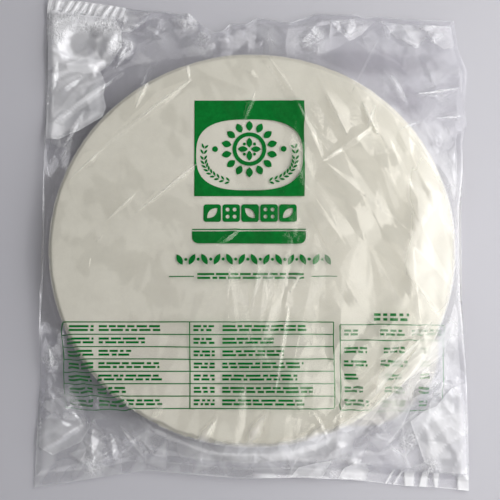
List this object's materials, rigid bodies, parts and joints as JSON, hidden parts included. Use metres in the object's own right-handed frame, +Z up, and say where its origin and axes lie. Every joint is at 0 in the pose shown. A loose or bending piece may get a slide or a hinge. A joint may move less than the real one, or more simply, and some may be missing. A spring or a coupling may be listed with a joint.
{
  "type": "stack of edible wafer paper in a clear bag",
  "caption": "Round stack of thin white edible wafer paper sheets, sealed in a clear crinkled bag with green print, lying flat.",
  "frame": {"origin": "on the surface the bag lies on, under the middle of its outline", "axes": "+Z up, out of the printed face; +Y along the bag to its top end; +X to the right of the print"},
  "size_m": [0.2595, 0.296, 0.0163],
  "materials": {
    "film": "clear glossy film, crinkled",
    "wafer_paper": "matte off-white starch sheet",
    "print": "green ink on the inside of the film"
  },
  "bodies": {
    "root": {"sealed_bag": "film"}
  },
  "joints": []
}
